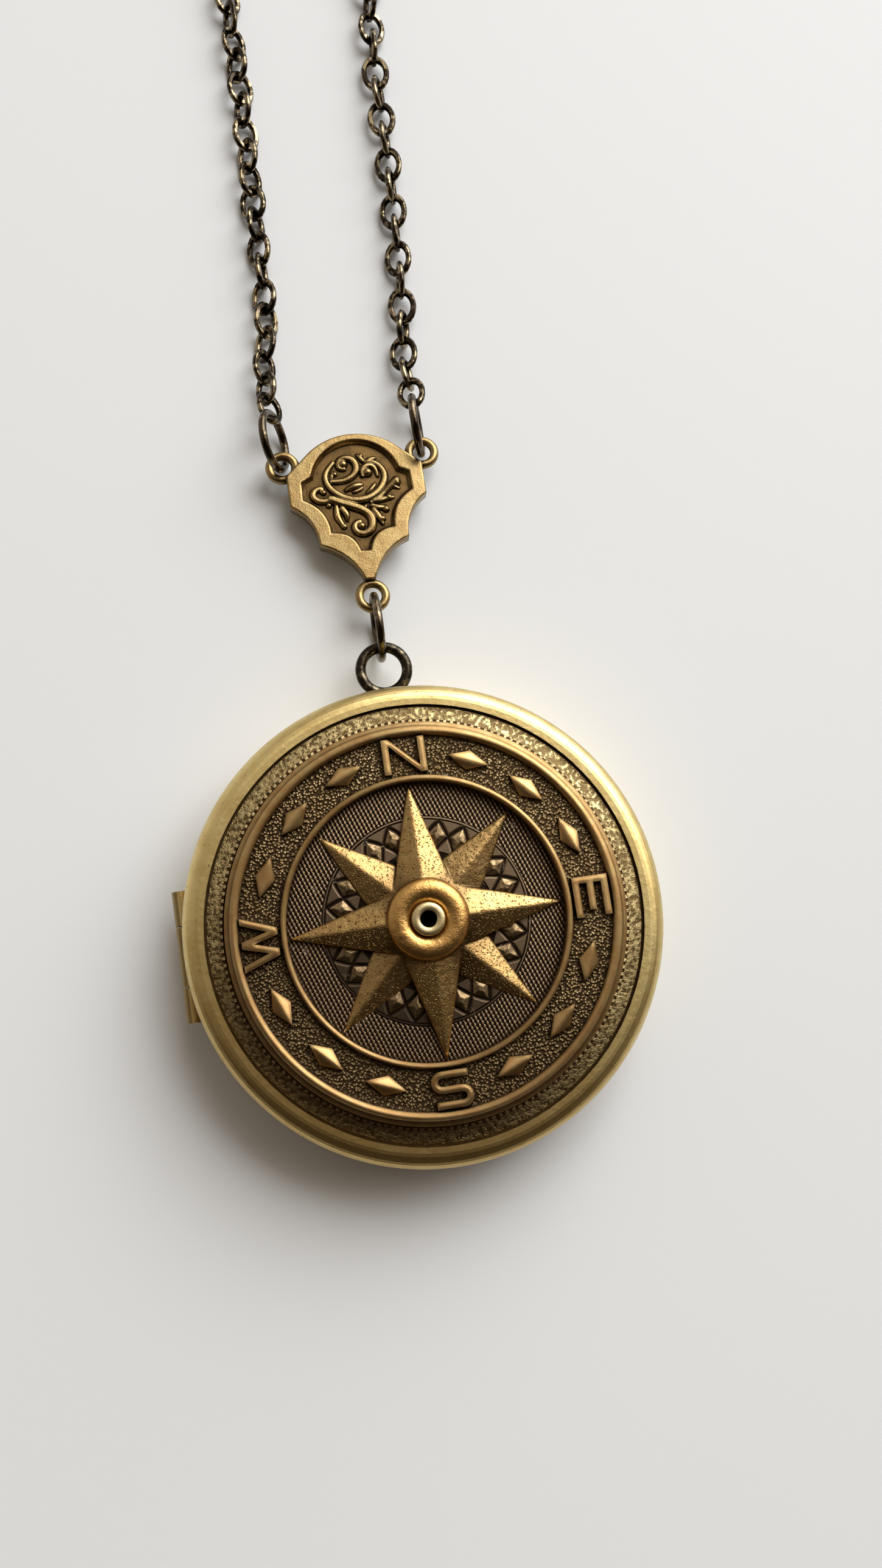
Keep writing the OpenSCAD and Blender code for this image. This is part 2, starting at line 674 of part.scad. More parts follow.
module connector() {
    color(antique_gold)
    translate([hanger_x, connector_y, connector_z])
        rotate([-connector_tilt, 0, 0])
            union() {
                difference() {
                    translate([0, 0, -plate_t / 2])
                        linear_extrude(height = plate_t)
                            shield(plate_top_r, plate_top_y, plate_top_from, plate_side());
                    translate([0, 0, plate_t / 2 - field_depth])
                        linear_extrude(height = plate_t)
                            shield(field_top_r, field_top_y, field_top_from, field_side());
                }
                translate([0, 0, plate_t / 2 - field_depth - overlap])
                    scrolls();
                for (at = [low_loop, side_loop, [-side_loop[0], side_loop[1]]])
                    translate([at[0], at[1], 0])
                        wire_ring(loop_r, loop_wire);
            }
}

module left_end_ring() {
    color(dark_metal)
    translate(left_ring)
        rotate([0, left_ring_lean, 0])
            wire_ring(end_ring_r, ring_wire);
}

module right_end_ring() {
    color(dark_metal)
    translate(right_ring)
        rotate([0, right_ring_lean, 0])
            wire_ring(end_ring_r, ring_wire);
}

// A tube swept along a route, standing for the links of one chain.
module chain_tube(route) {
    sides = 8;
    path = smooth_path(route, 2);
    n = len(path);
    rings = [for (i = [0 : n - 1]) let (
            d = path[min(i + 1, n - 1)] - path[max(i - 1, 0)],
            across = [d[1], -d[0], 0] / norm([d[0], d[1]]),
            above = cross(across, d) / norm(d))
        each [for (k = [0 : sides - 1]) let (a = 360 * (k + 0.5) / sides)
            path[i] + link_w / 2 * (across * cos(a) + above * sin(a))]];
    walls = [for (i = [0 : n - 2]) for (k = [0 : sides - 1])
        [i * sides + k, i * sides + (k + 1) % sides, (i + 1) * sides + (k + 1) % sides, (i + 1) * sides + k]];
    ends = [[for (k = [sides - 1 : -1 : 0]) k], [for (k = [0 : sides - 1]) (n - 1) * sides + k]];
    polyhedron(points = rings, faces = concat(walls, ends));
}

module left_chain() {
    color(dark_metal)
    chain_tube(left_route);
}

module right_chain() {
    color(dark_metal)
    chain_tube(right_route);
}

module clasp_ring() {
    color(dark_metal)
    translate([clasp_ring_x, clasp_y, clasp_ring_z])
        rotate([90, 0, 0])
            wire_ring(clasp_ring_r, clasp_ring_wire);
}

// The clasp, one plain piece: round nose with its hole, tapering body and a thin loop.
module clasp() {
    neck_w = clasp_loop_r;
    neck_x = eye_x - clasp_eye_r - link_gap;
    color(dark_metal)
    translate([0, clasp_y, clasp_z])
        difference() {
            union() {
                translate([nose_x, 0, -clasp_t / 2])
                    cylinder(h = clasp_t, r = nose_r);
                translate([0, 0, -clasp_t / 2])
                    linear_extrude(height = clasp_t)
                        polygon([[nose_x, -nose_r * 0.97], [neck_x, -neck_w / 2],
                                 [neck_x, neck_w / 2], [nose_x, nose_r * 0.97]]);
                translate([eye_x, 0, -clasp_loop_t / 2])
                    cylinder(h = clasp_loop_t, r = clasp_loop_r);
            }
            translate([nose_x, 0, -clasp_t])
                cylinder(h = 2 * clasp_t, r = nose_hole_r);
            translate([eye_x, 0, -clasp_t])
                cylinder(h = 2 * clasp_t, r = clasp_eye_r);
        }
}

module catch_ring() {
    color(dark_metal)
    translate([catch_ring_x, clasp_y, catch_ring_z])
        rotate([90, 0, 0])
            wire_ring(catch_ring_r, ring_wire);
}

back_cover();
front_cover();
hinge_pin();
compass_dial();
compass_star();
star_rivet();
pendant_ring();
connector();
left_end_ring();
right_end_ring();
left_chain();
right_chain();
clasp_ring();
clasp();
catch_ring();
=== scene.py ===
# Looks of the compass locket necklace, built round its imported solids. Metres, the solids' own frame.
import math
import random

import bmesh
import bpy
from mathutils import Matrix, Vector


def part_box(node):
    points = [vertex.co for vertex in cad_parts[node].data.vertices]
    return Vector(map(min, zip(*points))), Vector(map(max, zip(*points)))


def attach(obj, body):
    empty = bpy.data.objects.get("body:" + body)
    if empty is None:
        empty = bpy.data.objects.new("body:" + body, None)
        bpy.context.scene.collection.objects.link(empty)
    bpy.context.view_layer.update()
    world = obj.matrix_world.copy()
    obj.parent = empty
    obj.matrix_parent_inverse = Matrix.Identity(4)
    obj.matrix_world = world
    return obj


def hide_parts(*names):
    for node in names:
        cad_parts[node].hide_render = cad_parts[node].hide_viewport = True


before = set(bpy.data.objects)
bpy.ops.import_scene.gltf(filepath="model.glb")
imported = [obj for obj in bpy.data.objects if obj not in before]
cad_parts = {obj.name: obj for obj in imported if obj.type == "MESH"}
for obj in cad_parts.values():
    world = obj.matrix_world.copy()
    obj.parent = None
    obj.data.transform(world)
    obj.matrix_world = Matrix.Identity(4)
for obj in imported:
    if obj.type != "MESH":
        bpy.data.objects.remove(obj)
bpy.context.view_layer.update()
MM = 0.001

# The camera hangs almost straight above the locket, turned a little in its own plane,
# and close enough to show the case, the connector and the first 3 cm of chain.
LONG_SIDE = 2576
FOCAL_PIXELS = 2248
CAMERA_PLACE = Vector((-6.68, -3.85, 95.54))
camera_data = bpy.data.cameras.new("camera")
camera_data.sensor_width = 36
camera_data.lens = camera_data.sensor_width * FOCAL_PIXELS / LONG_SIDE
camera_data.clip_start = 1 * MM
camera = bpy.data.objects.new("camera", camera_data)
camera_right = Vector((0.9862, -0.1461, 0.0778)).normalized()
camera_back = Vector((-0.0983, -0.1392, 0.9854)).normalized()
camera_up = camera_back.cross(camera_right).normalized()
camera_right = camera_up.cross(camera_back)
camera.matrix_world = Matrix.Translation(CAMERA_PLACE * MM) @ Matrix(
    (camera_right, camera_up, camera_back)
).transposed().to_4x4()
bpy.context.scene.collection.objects.link(camera)
bpy.context.scene.camera = camera
bpy.context.scene.view_settings.view_transform = "Standard"


# A pale, matt tabletop under a broad bright window at the upper right. The room is dim straight
# above, where the photographer stands, and warm and dark on the far side from the window.
class Number:
    """A number that changes over a surface. Sums on it are written as Python sums."""

    def __init__(self, nodes, socket):
        self.nodes = nodes
        self.socket = socket

    def math(self, operation, *values):
        inputs = dict(enumerate(values))
        return self.nodes.node("ShaderNodeMath", {"operation": operation}, inputs)

    def __add__(self, other):
        return self.math("ADD", self, other)

    def __radd__(self, other):
        return self.math("ADD", other, self)

    def __sub__(self, other):
        return self.math("SUBTRACT", self, other)

    def __rsub__(self, other):
        return self.math("SUBTRACT", other, self)

    def __mul__(self, other):
        return self.math("MULTIPLY", self, other)

    def __rmul__(self, other):
        return self.math("MULTIPLY", other, self)

    def __truediv__(self, other):
        return self.math("DIVIDE", self, other)

    def sine(self):
        return self.math("SINE", self)

    def cosine(self):
        return self.math("COSINE", self)

    def size(self):
        return self.math("ABSOLUTE", self)

    def part(self):
        """What is left of the number past a whole one."""
        return self.math("FRACT", self)

    def rise(self, start, end):
        """0 up to start, 1 from end on, and smooth between them."""
        settings = {"interpolation_type": "SMOOTHSTEP"}
        inputs = {"Value": self, "From Min": start, "From Max": end}
        return self.nodes.node("ShaderNodeMapRange", settings, inputs)

    def within(self, low, high, soft):
        """1 between low and high, 0 outside, over a soft edge."""
        return self.rise(low - soft, low + soft) * (1 - self.rise(high - soft, high + soft))


class Nodes:
    """The nodes of one material or of the room."""

    def __init__(self, tree):
        self.tree = tree

    def node(self, kind, settings, inputs, output=0):
        new = self.tree.nodes.new(kind)
        for name, value in settings.items():
            setattr(new, name, value)
        for name, value in inputs.items():
            self.feed(new.inputs[name], value)
        return Number(self, new.outputs[output])

    def feed(self, socket, value):
        if isinstance(value, Number):
            self.tree.links.new(value.socket, socket)
        else:
            socket.default_value = value

    def mix(self, share, first, second):
        """From the first colour at 0 to the second at 1."""
        return self.node("ShaderNodeMix", {"data_type": "RGBA"}, {0: share, 6: first, 7: second}, 2)


class Surface(Nodes):
    """One material, on its piece's own coordinates in millimetres."""

    def __init__(self, name):
        self.material = bpy.data.materials.new(name)
        self.material.use_nodes = True
        super().__init__(self.material.node_tree)
        self.shader = self.tree.nodes["Principled BSDF"]
        metres = self.node("ShaderNodeTexCoord", {}, {}, "Object")
        self.place = self.node("ShaderNodeVectorMath", {"operation": "SCALE"}, {0: metres, "Scale": 1 / MM})
        self.x, self.y, self.z = (
            self.node("ShaderNodeSeparateXYZ", {}, {0: self.place}, axis) for axis in "XYZ"
        )

    def set(self, **inputs):
        for name, value in inputs.items():
            self.feed(self.shader.inputs[name.replace("_", " ")], value)

    def noise(self, per_mm, detail=3.0, roughness=0.55):
        inputs = {"Vector": self.place, "Scale": per_mm, "Detail": detail, "Roughness": roughness}
        return self.node("ShaderNodeTexNoise", {}, inputs)

    def grains(self, per_mm):
        """0 in the middle of each grain, rising to its edges."""
        settings = {"feature": "SMOOTH_F1"}
        inputs = {"Vector": self.place, "Scale": per_mm, "Smoothness": 0.3}
        return self.node("ShaderNodeTexVoronoi", settings, inputs, "Distance")

    def raised(self, height_mm, soft_mm=0.0):
        """A normal bent by a height in millimetres, over edges softened by a radius."""
        inputs = {"Height": height_mm, "Strength": 1.0, "Distance": MM}
        if soft_mm:
            inputs["Normal"] = self.node("ShaderNodeBevel", {"samples": 4}, {"Radius": soft_mm * MM})
        return self.node("ShaderNodeBump", {}, inputs)

    def open(self, reach_mm):
        """1 on open metal, falling to 0 in its corners and creases; the colours use it to paint shade
        there.
        """
        settings = {"samples": 3, "only_local": True}
        return self.node("ShaderNodeAmbientOcclusion", settings, {"Distance": reach_mm * MM}, "AO")

    def from_middle(self):
        """Distance from the locket's axis."""
        squares = self.x * self.x + self.y * self.y
        return squares.math("SQRT", squares)

    def around(self):
        """Angle about the locket's axis, in radians."""
        return self.y.math("ARCTAN2", self.y, self.x)


def tone(red, green, blue):
    return (red, green, blue, 1.0)


table = Surface("pale_tabletop")
table.set(Base_Color=tone(0.76, 0.785, 0.81), Roughness=0.7)
TABLE_HALF_W = 1.2
floor_mesh = bmesh.new()
bmesh.ops.create_grid(floor_mesh, x_segments=1, y_segments=1, size=TABLE_HALF_W)
floor_data = bpy.data.meshes.new("tabletop")
floor_mesh.to_mesh(floor_data)
floor_mesh.free()
floor_data.materials.append(table.material)
floor = bpy.data.objects.new("tabletop", floor_data)
bpy.context.scene.collection.objects.link(floor)

room = bpy.data.worlds.new("room")
bpy.context.scene.world = room
room.use_nodes = True
room_nodes = Nodes(room.node_tree)
view_way = room_nodes.node("ShaderNodeTexCoord", {}, {}, "Generated")


def facing(direction):
    """1 looking along a direction, 0 across it."""
    settings = {"operation": "DOT_PRODUCT"}
    return room_nodes.node("ShaderNodeVectorMath", settings, {0: view_way, 1: direction}, "Value")


window_share = facing((0.59, 0.61, 0.53)).rise(0.70, 0.92)
pale_wall_share = facing((-0.66, 0.50, 0.56)).rise(0.60, 0.95)
far_side_share = facing((-0.45, -0.80, 0.40)).rise(0.0, 0.75)
horizon_share = 1 - facing((0.0, 0.0, 1.0)).rise(0.10, 0.55)
overhead_share = facing((0.05, 0.36, 0.93)).rise(0.90, 0.99)
dim_light = 0.07 + 0.28 * horizon_share * (1 - 0.9 * far_side_share) - 0.03 * far_side_share
room_light = dim_light + 2.1 * window_share + 0.40 * pale_wall_share + 0.30 * overhead_share
bright_share = window_share + 0.6 * pale_wall_share
room_colour = room_nodes.mix(bright_share, tone(1.0, 0.75, 0.50), tone(1.0, 0.99, 0.97))
background = room.node_tree.nodes["Background"]
room_nodes.feed(background.inputs["Color"], room_colour)
room_nodes.feed(background.inputs["Strength"], room_light)


def soft_lamp(name, direction, distance, size, power, colour):
    lamp_data = bpy.data.lights.new(name, "AREA")
    lamp_data.shape = "SQUARE"
    lamp_data.size = size
    lamp_data.energy = power
    lamp_data.color = colour
    lamp = bpy.data.objects.new(name, lamp_data)
    bpy.context.scene.collection.objects.link(lamp)
    back = Vector(direction).normalized()
    lamp.location = back * distance
    lamp.rotation_mode = "QUATERNION"
    lamp.rotation_quaternion = back.to_track_quat("Z", "Y")


soft_lamp("window", (0.52, 0.60, 0.70), 0.60, 0.45, 2.6, (1.0, 0.99, 0.975))


# The case: two pressed brass covers, satin finished, with a bail ring of blackened brass soldered
# to the back one. The front cover's band is stamped with a worn speckle and has a milled inner
# edge, both of them dark where the polish doesn't reach.
BAND_IN = 13.2
BAND_OUT = 14.25
RIM_IN = 14.4
MILLED_OUT = 13.42
MILLED_TEETH = 180
BAND_SLOPE = 0.40
BAIL_START = 15.93
LID_TOP_Z = 5.5
GLUE_IN = 12.8
BORE_R = 0.6
BORE_EDGE = 0.8
HINGE_X = -15.95
DULL_BRASS = tone(0.64, 0.49, 0.205)
CLEAN_BRASS = tone(0.72, 0.58, 0.265)
PATINA_AND_SHADE = tone(0.050, 0.028, 0.012)
BLACKENED = tone(0.030, 0.025, 0.018)


def case_surface():
    surface = Surface("case_brass")
    out = surface.from_middle()
    top = surface.z.rise(LID_TOP_Z, LID_TOP_Z + 0.1)
    on_band = out.within(BAND_IN, BAND_OUT, 0.02) * top
    on_milling = out.within(BAND_IN, MILLED_OUT, 0.02) * top
    teeth = (surface.around() * MILLED_TEETH).sine().rise(-0.6, 0.6)
    speckle = surface.noise(3.2, 4.0, 0.65).rise(0.38, 0.60)
    scratches = surface.noise(1.1, 5.0, 0.75).rise(0.45, 0.65)
    satin = surface.noise(16.0, 4.0, 0.6)
    patches = surface.noise(0.7, 4.0, 0.6).rise(0.35, 0.65)
    pits = surface.noise(5.0, 2.0, 0.5).rise(0.66, 0.72)

    colour = surface.mix(patches, DULL_BRASS, CLEAN_BRASS)
    colour = surface.mix(pits * 0.6, colour, tone(0.22, 0.13, 0.045))
    worn_band = speckle * (0.55 + 0.45 * scratches)
    band_colour = surface.mix(worn_band, tone(0.15, 0.098, 0.040), tone(0.74, 0.59, 0.29))
    milled_colour = surface.mix(teeth, tone(0.07, 0.04, 0.018), tone(0.60, 0.46, 0.24))
    colour = surface.mix(on_band, colour, band_colour)
    colour = surface.mix(on_milling, colour, milled_colour)
    groove = out.within(BAND_OUT - 0.02, RIM_IN + 0.04, 0.03) * top
    gap_shade = out.within(GLUE_IN, BAND_IN + 0.03, 0.02) * top
    colour = surface.mix(groove * (0.20 + 0.45 * scratches), colour, PATINA_AND_SHADE)
    # The gap round the dial is painted near black as shade.
    colour = surface.mix(gap_shade, colour, tone(0.012, 0.006, 0.004))
    # Painted light and shade: the cover is lighter towards the window at the upper right, and darker and
    # browner towards the lower left.
    lit_side = (surface.x * 0.35 + surface.y * 0.94 + 2.0 * surface.noise(0.3)).rise(-12.5, 0.0)
    colour = surface.mix((1 - lit_side) * on_band * 0.7, colour, tone(0.10, 0.062, 0.030))
    colour = surface.mix((1 - lit_side) * (1 - on_band) * 0.5, colour, tone(0.42, 0.24, 0.065))
    # Painted shade, with patina, darkens the cover's creases and corners.
    colour = surface.mix(surface.open(0.35).rise(0.25, 0.90), PATINA_AND_SHADE, colour)
    # The bottom of the bore in the middle is painted dark as shade.
    colour = surface.mix((1 - out.rise(BORE_R, BORE_EDGE)) * top, colour, tone(0.05, 0.045, 0.04))
    # The hinge is painted darker brown as shade.
    on_hinge = 1 - surface.x.rise(HINGE_X - 0.1, HINGE_X)
    colour = surface.mix(on_hinge * 0.75, colour, tone(0.16, 0.105, 0.045))
    on_bail = surface.y.rise(BAIL_START, BAIL_START + 0.06)
    bail_colour = surface.mix(surface.noise(1.8).rise(0.50, 0.68), BLACKENED, tone(0.17, 0.14, 0.09))
    colour = surface.mix(on_bail, colour, bail_colour)
    height = (
        on_band * (0.035 * speckle - BAND_SLOPE * (out - BAND_IN))
        + 0.06 * teeth * on_milling
        + 0.004 * satin
        + 0.012 * surface.noise(2.4, 3.0, 0.5)
    )
    surface.set(
        Base_Color=colour,
        Metallic=1.0,
        Roughness=0.27 + 0.14 * satin + 0.12 * on_band - 0.06 * on_bail,
        Normal=surface.raised(height),
    )
    return surface.material


def cover_node(name, material):
    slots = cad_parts[name].data.materials
    slots.clear()
    slots.append(material)


case_brass = case_surface()
cover_node("back_cover", case_brass)
cover_node("front_cover", case_brass)


# The hinge pin and the jump rings: drawn brass wire, blackened and left glossy, with a little of
# the brown metal rubbed through.
def wire_surface():
    surface = Surface("dark_wire")
    rubbed = surface.noise(1.7, 3.0, 0.6).rise(0.50, 0.68)
    fine = surface.noise(12.0, 3.0, 0.6)
    colour = surface.mix(rubbed, tone(0.075, 0.058, 0.038), tone(0.25, 0.195, 0.125))
    # Painted shade darkens each wire piece in its corners and creases.
    colour = surface.mix(surface.open(0.5).rise(0.35, 0.95), tone(0.008, 0.005, 0.004), colour)
    surface.set(
        Base_Color=colour,
        Metallic=1.0,
        Roughness=0.10 + 0.12 * fine,
        Normal=surface.raised(0.005 * fine + 0.014 * surface.noise(3.0, 2.0, 0.5)),
    )
    return surface.material


dark_wire = wire_surface()
WIRE_NODES = ("hinge_pin", "pendant_ring", "left_end_ring", "right_end_ring", "clasp_ring", "catch_ring")
for wire_node in WIRE_NODES:
    cover_node(wire_node, dark_wire)


# The compass dial: one stamped brass disc, browned all over and rubbed bright on its bead, inner
# ring, letters and diamonds. Its ground is pebbled. Its sunk centre has a fine checkered ring and,
# nearer the middle, the lines of a diamond pattern between the tiles.
GROUND_Z = 6.93
FLOOR_Z = 6.43
BEAD_IN = 12.15
RING_OUT = 9.475
TILE_RING = (4.65, 6.55)
TILES_ROUND = 24
CHECKER_IN = 6.85
CHECKER_PITCH = 0.26
COPPERY = tone(0.46, 0.280, 0.115)
RUBBED = tone(0.52, 0.365, 0.160)


def window_side(surface):
    """1 on the dial's upper right, towards the window, falling to 0 at its lower left. Colours use it to
    paint light on that side and shade on the other.
    """
    across = surface.x * 0.5 + surface.y * 0.85 + 1.6 * surface.noise(0.35)
    return across.rise(-7.5, 7.0)


def dial_surface():
    surface = Surface("aged_dial")
    out = surface.from_middle()
    pebble = 1 - surface.grains(5.0).rise(0.15, 0.70)
    fine = surface.noise(11.0, 3.0, 0.6)
    patches = surface.noise(1.3, 3.0, 0.5).rise(0.35, 0.65)
    on_floor = 1 - surface.z.rise(FLOOR_Z + 0.05, FLOOR_Z + 0.12)
    on_ground = out.within(RING_OUT, BEAD_IN, 0.02) * (1 - surface.z.rise(GROUND_Z + 0.04, GROUND_Z + 0.12))

    turns = 2 * math.pi / CHECKER_PITCH
    strokes = ((surface.x * 0.94 + surface.y * 0.34) * turns).sine()
    breaks = ((surface.x * 0.64 - surface.y * 0.77) * turns).sine()
    checker = (0.5 + 0.32 * strokes + 0.18 * breaks).rise(0.30, 0.85)
    on_checker = out.rise(CHECKER_IN - 0.03, CHECKER_IN + 0.03)
    tile_mid = (TILE_RING[0] + TILE_RING[1]) / 2
    tile_half = (TILE_RING[1] - TILE_RING[0]) / 2
    share_round = (surface.around() * (TILES_ROUND / (2 * math.pi)) + (2 * TILES_ROUND + 0.5)).part()
    from_groove = (1 - (share_round * 2 - 1).size() - ((out - tile_mid) / tile_half).size()).size()
    tile = from_groove.rise(0.03, 0.34)
    tile_line = from_groove.within(0.16, 0.26, 0.03)
    on_tiles = out.within(TILE_RING[0] - 0.1, TILE_RING[1] + 0.05, 0.03)
    fillet = out.within(CHECKER_IN - 0.17, CHECKER_IN - 0.05, 0.03)
    scratch = surface.noise(0.8, 6.0, 0.8).rise(0.60, 0.66) * on_floor
    lit_side = window_side(surface)

    bright = surface.mix(patches, RUBBED, COPPERY)
    # The checkers and tiles are the floor's stamped pattern; their pale lines, the tile edges and the
    # fillet ring are partly painted highlight, and all of it is painted brighter towards the upper right.
    tiles = on_tiles * (0.34 * tile + 0.50 * tile_line) * (0.15 + 0.85 * lit_side)
    checker_lit = on_checker * checker * (0.50 + 0.40 * lit_side)
    pattern = checker_lit + (1 - on_checker) * (tiles + 0.5 * fillet * lit_side)
    floor_colour = surface.mix(pattern, tone(0.014, 0.009, 0.006), tone(0.47, 0.335, 0.205))
    floor_colour = surface.mix(scratch * 0.25, floor_colour, tone(0.62, 0.50, 0.38))
    # Painted glints on the grain tops, brighter towards the upper right.
    lit_grain = surface.noise(3.4, 2.0, 0.5).rise(0.50, 0.64) * pebble.rise(0.35, 0.85)
    ground_colour = surface.mix(pebble.rise(0.0, 0.65), tone(0.055, 0.036, 0.018), tone(0.33, 0.235, 0.115))
    ground_colour = surface.mix(lit_grain * (0.35 + 0.4 * lit_side), ground_colour, tone(0.70, 0.56, 0.34))
    # Painted shade: the ground and the raised parts darken towards the lower left.
    ground_colour = surface.mix((1 - lit_side) * 0.5, ground_colour, tone(0.055, 0.036, 0.020))
    bright = surface.mix((1 - lit_side) * 0.45, bright, tone(0.22, 0.120, 0.050))
    colour = surface.mix(on_ground, bright, ground_colour)
    colour = surface.mix(on_floor, colour, floor_colour)
    # Painted shade, with patina, darkens the creases and the corners of the dial.
    colour = surface.mix(surface.open(0.42).rise(0.45, 0.96), tone(0.022, 0.013, 0.006), colour)
    tile_height = 0.12 * tile * on_tiles + 0.05 * fillet
    floor_height = on_checker * 0.05 * checker + (1 - on_checker) * tile_height
    height = on_floor * floor_height + on_ground * 0.09 * pebble + 0.010 * fine
    surface.set(
        Base_Color=colour,
        Metallic=1.0,
        Roughness=0.27 + 0.14 * fine + 0.14 * on_floor + 0.12 * on_ground,
        Normal=surface.raised(height, 0.42),
    )
    return surface.material


cover_node("compass_dial", dial_surface())


# The tile ring: low diamonds stamped up from the floor of the dial's sunk centre, grey-brown and
# rubbed pale on their tops; painted light makes them paler towards the window at the upper right.
TILE_MID_R = 5.6
TILE_HALF_L = 0.86
TILE_HALF_W = 0.66
TILE_H = 0.15
TILE_TOP = 0.30
TILE_EDGE = 0.03
TILE_SINK = 0.01


def join_part(mesh, part):
    """Adds one bmesh to another and frees it."""
    data = bpy.data.meshes.new("part")
    part.to_mesh(data)
    part.free()
    mesh.from_mesh(data)
    bpy.data.meshes.remove(data)


def add_part(mesh, part):
    """Joins one bmesh to another, smooth but for the faces that lie flat."""
    for face in part.faces:
        face.normal_update()
        face.smooth = abs(face.normal.z) < 0.999
    join_part(mesh, part)


def finish_piece(name, mesh, material, body, replaced):
    """Turns a mesh in millimetres into a piece on its body, standing for CAD nodes."""
    bmesh.ops.scale(mesh, vec=(MM, MM, MM), verts=mesh.verts)
    data = bpy.data.meshes.new(name)
    mesh.to_mesh(data)
    mesh.free()
    data.materials.append(material)
    piece = bpy.data.objects.new(name, data)
    bpy.context.scene.collection.objects.link(piece)
    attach(piece, body)
    if replaced:
        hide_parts(*replaced)


def tile_surface():
    surface = Surface("tile_bronze")
    lit_side = window_side(surface)
    fine = surface.noise(11.0, 3.0, 0.6)
    # Rubbed patches, painted brighter towards the upper right as light.
    rubbed = surface.noise(2.0, 4.0, 0.65).rise(0.40, 0.62) * (0.25 + 0.75 * lit_side)
    colour = surface.mix(rubbed, tone(0.105, 0.070, 0.036), tone(0.36, 0.255, 0.135))
    # Painted shade, with patina, darkens the tiles' corners.
    colour = surface.mix(surface.open(0.30).rise(0.40, 0.95), tone(0.014, 0.009, 0.006), colour)
    surface.set(
        Base_Color=colour,
        Metallic=1.0,
        Roughness=0.30 + 0.16 * fine,
        Normal=surface.raised(0.012 * fine + 0.02 * surface.noise(2.6, 3.0, 0.6), 0.06),
    )
    return surface.material


def add_tile(mesh, turn):
    """Adds one flat-topped diamond, its long way pointing at the dial's middle."""
    part = bmesh.new()
    bmesh.ops.create_cone(
        part, cap_ends=True, segments=4, radius1=1, radius2=TILE_TOP, depth=TILE_H
    )
    bmesh.ops.scale(part, vec=(TILE_HALF_L, TILE_HALF_W, 1), verts=part.verts)
    bmesh.ops.bevel(
        part, geom=part.edges[:], affect="EDGES", offset=TILE_EDGE, segments=1, profile=0.5, material=-1
    )
    height = FLOOR_Z + TILE_H / 2 - TILE_SINK
    bmesh.ops.translate(part, vec=(TILE_MID_R, 0, height), verts=part.verts)
    bmesh.ops.rotate(part, cent=(0, 0, 0), matrix=Matrix.Rotation(turn, 3, "Z"), verts=part.verts)
    for face in part.faces:
        face.smooth = False
    join_part(mesh, part)


tile_mesh = bmesh.new()
for tile_index in range(TILES_ROUND):
    add_tile(tile_mesh, 2 * math.pi * tile_index / TILES_ROUND)
finish_piece("tile_ring", tile_mesh, tile_surface(), "lid", [])


# The compass star: two crossed four-pointed stars and a ringed hub, cast in one, warm brass worn
# bright, with small dark pits. The main points stand higher than the ones between them.
STAR_Z = 6.46
STAR_R = 9.0
STAR_EDGE = 0.16
MAIN_STAR = {"waist_r": 2.85, "tip_h": 0.30, "waist_h": 0.54, "ridge_h": 1.40, "turn": 0}
LOW_STAR = {"waist_r": 3.00, "tip_h": 0.14, "waist_h": 0.12, "ridge_h": 0.80, "turn": 45}
HUB_R = 2.66
HUB_H = 1.45
HUB_DISH = 0.45
HUB_IN = 1.14
HUB_BORE = 0.85
HUB_STEPS = 96
CROWN_STEPS = 20
PEAK_CUT_R = HUB_R - 0.3


def star_surface():
    surface = Surface("warm_brass")
    pits = surface.noise(7.0, 2.0, 0.5).rise(0.59, 0.66)
    stains = surface.noise(2.2, 4.0, 0.65).rise(0.50, 0.72)
    fine = surface.noise(12.0, 3.0, 0.6)
    patches = surface.noise(1.0, 3.0, 0.5).rise(0.35, 0.65)
    on_hub = 1 - surface.from_middle().rise(HUB_R - 0.02, HUB_R + 0.03)
    colour = surface.mix(patches, tone(0.46, 0.310, 0.125), tone(0.40, 0.250, 0.094))
    colour = surface.mix(on_hub, colour, tone(0.54, 0.315, 0.105))
    colour = surface.mix(stains * 0.45 * (1 - on_hub), colour, tone(0.20, 0.110, 0.038))
    colour = surface.mix(pits * 0.8 * (1 - 0.8 * on_hub), colour, tone(0.07, 0.038, 0.014))
    near_hub = (1 - surface.from_middle().rise(HUB_R, 5.0)) * (1 - on_hub)
    on_low_star = (1 - (surface.around() * 4).cosine().rise(-0.5, 0.5)) * (1 - on_hub)
    colour = surface.mix(near_hub * (0.20 + 0.35 * on_low_star), colour, tone(0.10, 0.058, 0.024))
    colour = surface.mix(on_low_star * 0.30, colour, tone(0.16, 0.095, 0.040))
    # Painted shade, with patina, darkens the star's creases.
    colour = surface.mix(surface.open(0.45).rise(0.35, 0.92), tone(0.030, 0.017, 0.008), colour)
    # The bore in the middle is painted dark as shade.
    colour = surface.mix(surface.from_middle().rise(BORE_R, BORE_EDGE), tone(0.05, 0.045, 0.04), colour)
    height = 0.012 * fine - 0.03 * pits * (1 - on_hub) + 0.03 * surface.noise(2.6, 2.0, 0.5)
    surface.set(
        Base_Color=colour,
        Metallic=1.0,
        Roughness=0.23 + 0.14 * fine,
        Normal=surface.raised(height, 0.2),
    )
    return surface.material


